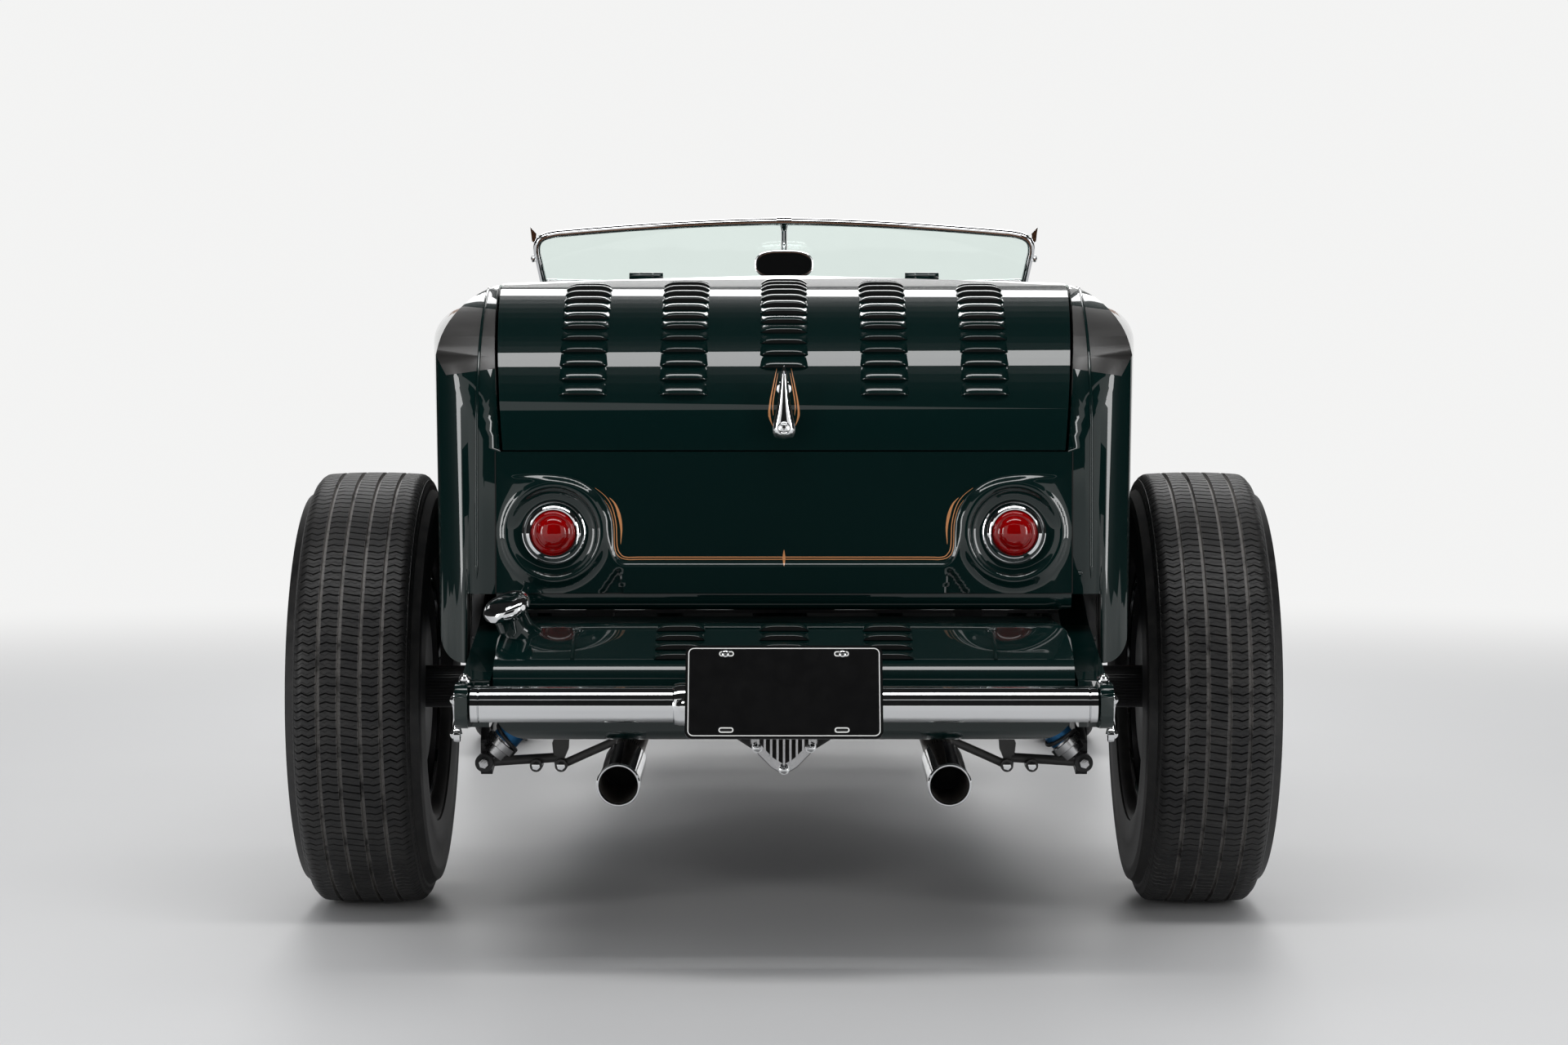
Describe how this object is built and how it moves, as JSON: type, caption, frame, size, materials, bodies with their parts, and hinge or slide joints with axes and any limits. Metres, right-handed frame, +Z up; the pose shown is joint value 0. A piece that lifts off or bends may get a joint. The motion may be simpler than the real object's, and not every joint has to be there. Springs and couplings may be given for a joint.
{
  "type": "street rod roadster",
  "caption": "Fenderless open two-seat street rod with a louvred deck lid, round red tail lamps, exposed frame and fat rear tyres.",
  "frame": {"origin": "on the floor under the middle of the car's bounding box", "axes": "+Y towards the front of the car, +Z up, +X to the car's right"},
  "size_m": [1.7048, 3.979, 1.3099],
  "materials": {
    "green_paint": "gloss",
    "chrome": "polished",
    "black_steel": "satin",
    "clear_glass": "clear",
    "red_glass": "clear",
    "plate_black": "gloss",
    "tan_leather": "satin",
    "black_plastic": "gloss",
    "polished_aluminium": "polished",
    "cast_iron": "satin",
    "steel_pipe": "satin",
    "tyre_rubber": "matte"
  },
  "bodies": {
    "car": {"body_tub": "green_paint", "hood_sides": "green_paint", "grille_shell": "green_paint", "grille_bars": "chrome", "radiator": "black_steel", "headlamps": "chrome", "headlamp_lenses": "clear_glass", "chassis_rails": "green_paint", "crossmembers": "black_steel", "spreader_bars": "chrome", "horn_links": "chrome", "fuel_tank": "green_paint", "fuel_filler": "chrome", "number_plate": "plate_black", "tail_lamp_bezels": "chrome", "tail_lamp_lenses": "red_glass", "windshield_frame": "chrome", "windshield_glass": "clear_glass", "mirror": "chrome", "seat_back": "tan_leather", "seat_cushion": "tan_leather", "dash_panel": "green_paint", "steering_column": "chrome", "rear_axle": "black_steel", "quick_change_cover": "polished_aluminium", "coil_overs": "chrome", "suspension_rods": "black_steel", "front_axle": "chrome", "front_spring": "black_steel", "engine_block": "cast_iron", "exhausts": "steel_pipe"},
    "deck_lid": {"deck_lid": "green_paint", "deck_handle": "chrome"},
    "door_left": {"door_left": "green_paint"},
    "door_right": {"door_right": "green_paint"},
    "hood_left": {"hood_top_left": "green_paint"},
    "hood_right": {"hood_top_right": "green_paint"},
    "steering_wheel": {"steering_wheel": "black_plastic"},
    "knuckle_left": {"knuckle_left": "black_steel"},
    "knuckle_right": {"knuckle_right": "black_steel"},
    "tie_rod": {"tie_rod": "chrome"},
    "rear_wheel_left": {"rear_wheel_left": "black_steel", "rear_tyre_left": "tyre_rubber"},
    "rear_wheel_right": {"rear_wheel_right": "black_steel", "rear_tyre_right": "tyre_rubber"},
    "front_wheel_left": {"front_wheel_left": "black_steel", "front_tyre_left": "tyre_rubber"},
    "front_wheel_right": {"front_wheel_right": "black_steel", "front_tyre_right": "tyre_rubber"}
  },
  "joints": [
    {"name": "rear_left_roll", "type": "hinge", "parent": "car", "child": "rear_wheel_left", "pos_m": [-0.735, -1.10254, 0.387], "axis": [1, 0, 0], "continuous": true},
    {"name": "rear_right_roll", "type": "hinge", "parent": "car", "child": "rear_wheel_right", "pos_m": [0.735, -1.10254, 0.387], "axis": [1, 0, 0], "continuous": true},
    {"name": "left_steer", "type": "hinge", "parent": "car", "child": "knuckle_left", "pos_m": [-0.6, 1.58946, 0.337], "axis": [0, 0, 1], "range_deg": [-26, 26]},
    {"name": "right_steer", "type": "hinge", "parent": "car", "child": "knuckle_right", "pos_m": [0.6, 1.58946, 0.337], "axis": [0, 0, 1], "range_deg": [-26, 26]},
    {"name": "tie_rod_swing", "type": "hinge", "parent": "knuckle_left", "child": "tie_rod", "pos_m": [-0.6, 1.45946, 0.25], "axis": [0, 0, 1], "range_deg": [-26, 26]},
    {"name": "front_left_roll", "type": "hinge", "parent": "knuckle_left", "child": "front_wheel_left", "pos_m": [-0.741, 1.58946, 0.337], "axis": [1, 0, 0], "continuous": true},
    {"name": "front_right_roll", "type": "hinge", "parent": "knuckle_right", "child": "front_wheel_right", "pos_m": [0.741, 1.58946, 0.337], "axis": [1, 0, 0], "continuous": true},
    {"name": "steering_turn", "type": "hinge", "parent": "car", "child": "steering_wheel", "pos_m": [-0.33, -0.14254, 0.96], "axis": [0, 0.8575, -0.5145], "range_deg": [-312, 312]},
    {"name": "door_left_swing", "type": "hinge", "parent": "car", "child": "door_left", "pos_m": [-0.626, 0.11496, 0.8], "axis": [0, 0, -1], "range_deg": [0, 65]},
    {"name": "door_right_swing", "type": "hinge", "parent": "car", "child": "door_right", "pos_m": [0.626, 0.11496, 0.8], "axis": [0, 0, 1], "range_deg": [0, 65]},
    {"name": "deck_lid_lift", "type": "hinge", "parent": "car", "child": "deck_lid", "pos_m": [0, -1.05254, 1.127], "axis": [-1, 0, 0], "range_deg": [0, 60]},
    {"name": "hood_left_lift", "type": "hinge", "parent": "car", "child": "hood_left", "pos_m": [0, 0.51746, 1.147], "axis": [0, 0.9994, -0.0343], "range_deg": [0, 65]},
    {"name": "hood_right_lift", "type": "hinge", "parent": "car", "child": "hood_right", "pos_m": [0, 0.51746, 1.147], "axis": [0, -0.9994, 0.0343], "range_deg": [0, 65]}
  ],
  "couplings": [
    {"joint": "right_steer", "follows": "left_steer", "ratio": 1},
    {"joint": "tie_rod_swing", "follows": "left_steer", "ratio": -1},
    {"joint": "steering_turn", "follows": "left_steer", "ratio": -12}
  ]
}
